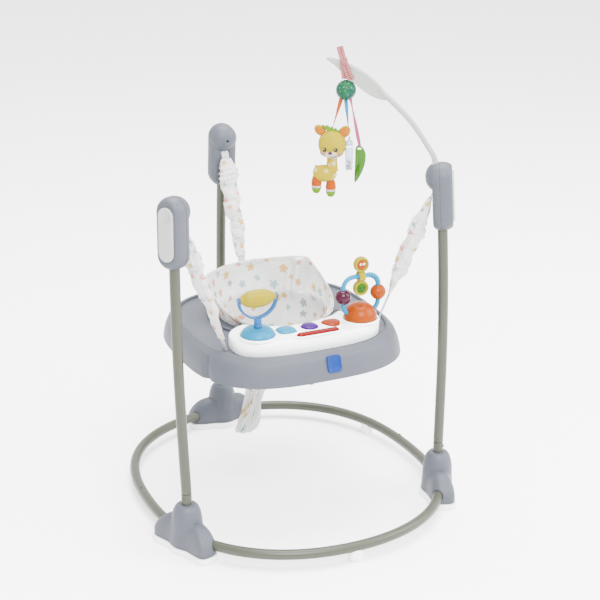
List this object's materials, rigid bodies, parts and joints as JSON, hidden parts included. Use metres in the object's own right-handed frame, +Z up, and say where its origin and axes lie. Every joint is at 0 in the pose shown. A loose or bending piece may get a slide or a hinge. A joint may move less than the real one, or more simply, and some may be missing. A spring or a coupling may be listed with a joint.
{
  "type": "baby activity center",
  "caption": "Baby bouncer with a base ring, upright posts, a sprung hanging tray, a swivelling fabric seat, a toy panel and a toy arm with a mobile.",
  "frame": {"origin": "floor, at the middle of the whole object's length and width", "axes": "+X to the side of the toy arm, -Y to the front with the toy panel, +Z up"},
  "size_m": [0.7882, 0.8937, 1.142],
  "materials": {
    "olive_tube": "olive grey powder coat on steel tube, satin",
    "grey_plastic": "satin mid grey moulding",
    "white_plastic": "satin white moulding",
    "white_gloss": "glossy white moulding",
    "arm_white": "off-white satin moulding",
    "spring_steel": "bare spring wire",
    "printed_fabric": "off-white woven fabric with small coloured blots",
    "webbing": "grey-white polyester webbing",
    "cyan_gloss": "glossy cyan",
    "blue_clear": "tinted blue, slightly see-through",
    "yellow_gloss": "glossy lemon yellow",
    "orange_gloss": "glossy orange",
    "coral_gloss": "glossy red orange",
    "purple_gloss": "glossy purple",
    "plum_clear": "tinted plum, slightly see-through",
    "red_gloss": "glossy red",
    "teal_ball": "marbled teal and green",
    "green_rubber": "soft green rubber",
    "clear_tube": "clear plastic tube",
    "red_ribbon": "red check ribbon",
    "orange_ribbon": "orange ribbon",
    "blue_ribbon": "blue ribbon",
    "pink_ribbon": "pink ribbon",
    "yellow_plush": "yellow plush",
    "orange_plush": "orange plush with lime feet"
  },
  "bodies": {
    "frame": {"base_tube_front": "olive_tube", "base_tube_left": "olive_tube", "base_tube_right": "olive_tube", "post_left": "olive_tube", "post_right": "olive_tube", "post_rear": "olive_tube", "ring_foot_front": "white_plastic", "ring_foot_left": "white_plastic", "ring_foot_right": "white_plastic", "hub_shell_left": "grey_plastic", "hub_pad_left": "white_plastic", "head_inner_left": "grey_plastic", "head_outer_left": "grey_plastic", "strap_webbing_left": "webbing", "bounce_spring_left": "spring_steel", "strap_sleeve_left": "printed_fabric", "hub_shell_right": "grey_plastic", "hub_pad_right": "white_plastic", "head_inner_right": "grey_plastic", "head_outer_right": "grey_plastic", "strap_webbing_right": "webbing", "bounce_spring_right": "spring_steel", "strap_sleeve_right": "printed_fabric", "hub_shell_rear": "grey_plastic", "hub_pad_rear": "white_plastic", "head_inner_rear": "grey_plastic", "head_outer_rear": "grey_plastic", "strap_webbing_rear": "webbing", "bounce_spring_rear": "spring_steel", "strap_sleeve_rear": "printed_fabric", "toy_arm": "arm_white", "hang_ribbon": "red_ribbon"},
    "tray": {"tray_shell": "grey_plastic", "toy_panel": "white_gloss", "spinner_base": "cyan_gloss", "bead_base": "orange_gloss", "bead_arch": "cyan_gloss"},
    "seat": {"seat_ring": "grey_plastic", "seat_fabric": "printed_fabric"},
    "yoke": {"spinner_yoke": "blue_clear"},
    "roller": {"spinner_roller": "yellow_gloss"},
    "plum_bead": {"bead_plum": "plum_clear"},
    "orange_bead": {"bead_orange": "orange_gloss"},
    "figure": {"flip_figure": "yellow_gloss"},
    "cyan_key": {"button_cyan": "cyan_gloss"},
    "purple_key": {"button_purple": "purple_gloss"},
    "orange_key": {"button_orange": "coral_gloss"},
    "bar_key": {"button_bar": "red_gloss"},
    "plate_left": {"press_plate_left": "white_plastic"},
    "plate_right": {"press_plate_right": "white_plastic"},
    "plate_rear": {"press_plate_rear": "white_plastic"},
    "mobile": {"toy_ball": "teal_ball"},
    "plush": {"plush_ribbon": "orange_ribbon", "plush_head": "yellow_plush", "plush_body": "yellow_plush", "plush_legs": "orange_plush"},
    "rattle_toy": {"rattle_ribbon": "blue_ribbon", "rattle": "clear_tube"},
    "leaf_toy": {"leaf_ribbon": "pink_ribbon", "leaf_teether": "green_rubber"}
  },
  "joints": [
    {"name": "tray_bounce", "type": "slide", "parent": "frame", "child": "tray", "axis": [0, 0, 1], "range_m": [-0.1, 0.02], "stiffness_N_per_m": 1100, "springref_m": 0.0109, "deforming": ["strap_webbing_left", "strap_webbing_right", "strap_webbing_rear", "strap_sleeve_left", "strap_sleeve_right", "strap_sleeve_rear", "bounce_spring_left", "bounce_spring_right", "bounce_spring_rear"]},
    {"name": "seat_swivel", "type": "hinge", "parent": "tray", "child": "seat", "pos_m": [0, 0.04505, 0.455], "axis": [0, 0, 1], "continuous": true},
    {"name": "spinner_turn", "type": "hinge", "parent": "tray", "child": "yoke", "pos_m": [-0.132, -0.16695, 0.51], "axis": [0, 0, 1], "continuous": true},
    {"name": "roller_spin", "type": "hinge", "parent": "yoke", "child": "roller", "pos_m": [-0.132, -0.16695, 0.5866], "axis": [1, 0, 0], "continuous": true},
    {"name": "plum_bead_spin", "type": "hinge", "parent": "tray", "child": "plum_bead", "pos_m": [0.091, -0.16695, 0.555], "axis": [0, 0, 1], "continuous": true},
    {"name": "orange_bead_spin", "type": "hinge", "parent": "tray", "child": "orange_bead", "pos_m": [0.185, -0.16695, 0.555], "axis": [0, 0, 1], "continuous": true},
    {"name": "figure_flip", "type": "hinge", "parent": "tray", "child": "figure", "pos_m": [0.138, -0.16695, 0.602], "axis": [1, 0, 0], "continuous": true},
    {"name": "cyan_press", "type": "slide", "parent": "tray", "child": "cyan_key", "axis": [0, 0, -1], "range_m": [0, 0.003], "stiffness_N_per_m": 400, "springref_m": -0.002},
    {"name": "purple_press", "type": "slide", "parent": "tray", "child": "purple_key", "axis": [0, 0, -1], "range_m": [0, 0.003], "stiffness_N_per_m": 400, "springref_m": -0.002},
    {"name": "orange_press", "type": "slide", "parent": "tray", "child": "orange_key", "axis": [0, 0, -1], "range_m": [0, 0.003], "stiffness_N_per_m": 400, "springref_m": -0.002},
    {"name": "bar_press", "type": "slide", "parent": "tray", "child": "bar_key", "axis": [0, 0, -1], "range_m": [0, 0.003], "stiffness_N_per_m": 400, "springref_m": -0.002},
    {"name": "left_plate_press", "type": "slide", "parent": "frame", "child": "plate_left", "axis": [0.864, 0.4997, -0.0618], "range_m": [0, 0.003], "stiffness_N_per_m": 600, "springref_m": -0.002},
    {"name": "right_plate_press", "type": "slide", "parent": "frame", "child": "plate_right", "axis": [-0.864, 0.4997, -0.0618], "range_m": [0, 0.003], "stiffness_N_per_m": 600, "springref_m": -0.002},
    {"name": "rear_plate_press", "type": "slide", "parent": "frame", "child": "plate_rear", "axis": [0, -0.9966, -0.0826], "range_m": [0, 0.003], "stiffness_N_per_m": 600, "springref_m": -0.002},
    {"name": "mobile_swing", "type": "hinge", "parent": "frame", "child": "mobile", "pos_m": [0.14195, -0.06548, 1.07], "axis": [0.8643, -0.503, 0], "range_deg": [-15, 15]},
    {"name": "plush_swing", "type": "hinge", "parent": "mobile", "child": "plush", "pos_m": [0.13244, -0.05995, 1.0105], "axis": [0.8643, -0.503, 0], "range_deg": [-25, 25]},
    {"name": "rattle_swing", "type": "hinge", "parent": "mobile", "child": "rattle_toy", "pos_m": [0.14195, -0.06548, 1.0105], "axis": [0.8643, -0.503, 0], "range_deg": [-25, 25]},
    {"name": "leaf_swing", "type": "hinge", "parent": "mobile", "child": "leaf_toy", "pos_m": [0.15146, -0.07101, 1.0105], "axis": [0.8643, -0.503, 0], "range_deg": [-25, 25]}
  ]
}
